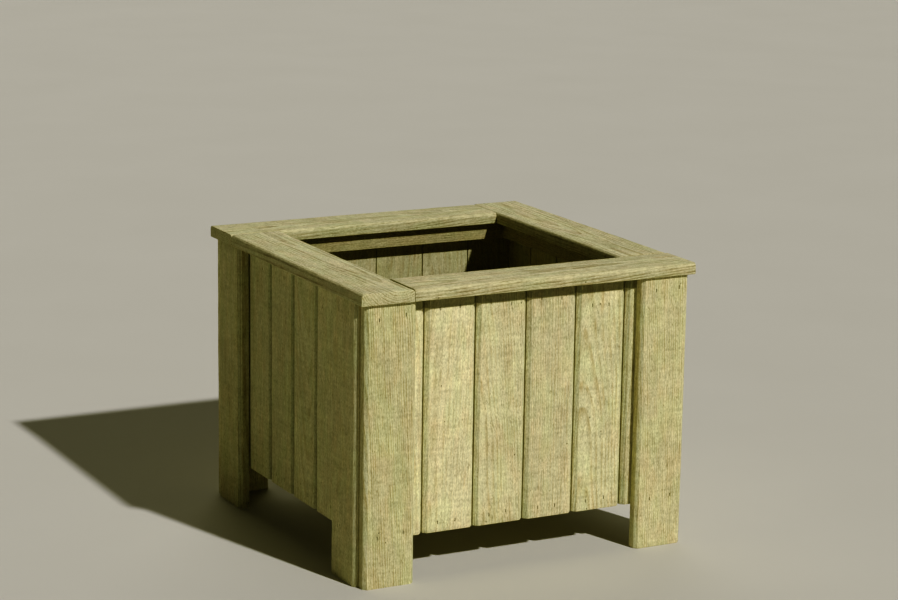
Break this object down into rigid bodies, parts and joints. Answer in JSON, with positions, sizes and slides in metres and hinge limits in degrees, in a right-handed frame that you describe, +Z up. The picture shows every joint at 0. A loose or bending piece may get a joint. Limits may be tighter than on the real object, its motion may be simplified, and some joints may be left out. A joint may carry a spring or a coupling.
{
  "type": "planter box",
  "caption": "Square outdoor planter of softwood boards: L-shaped corner legs, boarded sides with V-joints, a flat rim of planks and a slatted base with drainage gaps.",
  "frame": {"origin": "centre of the square on the ground under the four legs", "axes": "+Z up, -Y out of the front, +X to the right when facing the front"},
  "size_m": [0.5, 0.5, 0.396],
  "materials": {
    "rim_wood": "planed softwood, pressure treated, pale yellow green",
    "leg_wood": "planed softwood, pressure treated, pale yellow green",
    "board_wood": "planed softwood, pressure treated, pale yellow green",
    "batten_wood": "sawn softwood, pressure treated",
    "slat_wood": "sawn softwood, pressure treated"
  },
  "bodies": {
    "root": {"rim_plank_left": "rim_wood", "rim_plank_front": "rim_wood", "rim_plank_right": "rim_wood", "rim_plank_back": "rim_wood", "leg_front_left_face_board": "leg_wood", "leg_front_left_flank_board": "leg_wood", "leg_front_right_face_board": "leg_wood", "leg_front_right_flank_board": "leg_wood", "leg_back_left_face_board": "leg_wood", "leg_back_left_flank_board": "leg_wood", "leg_back_right_face_board": "leg_wood", "leg_back_right_flank_board": "leg_wood", "side_board_front_1": "board_wood", "side_board_front_2": "board_wood", "side_board_front_3": "board_wood", "side_board_front_4": "board_wood", "side_board_front_5": "board_wood", "side_board_front_6": "board_wood", "side_board_back_1": "board_wood", "side_board_back_2": "board_wood", "side_board_back_3": "board_wood", "side_board_back_4": "board_wood", "side_board_back_5": "board_wood", "side_board_back_6": "board_wood", "side_board_left_1": "board_wood", "side_board_left_2": "board_wood", "side_board_left_3": "board_wood", "side_board_left_4": "board_wood", "side_board_left_5": "board_wood", "side_board_left_6": "board_wood", "side_board_right_1": "board_wood", "side_board_right_2": "board_wood", "side_board_right_3": "board_wood", "side_board_right_4": "board_wood", "side_board_right_5": "board_wood", "side_board_right_6": "board_wood", "top_batten_front": "batten_wood", "top_batten_back": "batten_wood", "top_batten_left": "batten_wood", "top_batten_right": "batten_wood", "bottom_batten_front": "batten_wood", "bottom_batten_back": "batten_wood", "bottom_batten_left": "batten_wood", "bottom_batten_right": "batten_wood", "base_slat_1": "slat_wood", "base_slat_2": "slat_wood", "base_slat_3": "slat_wood", "base_slat_4": "slat_wood", "base_slat_5": "slat_wood", "base_slat_6": "slat_wood"}
  },
  "joints": []
}
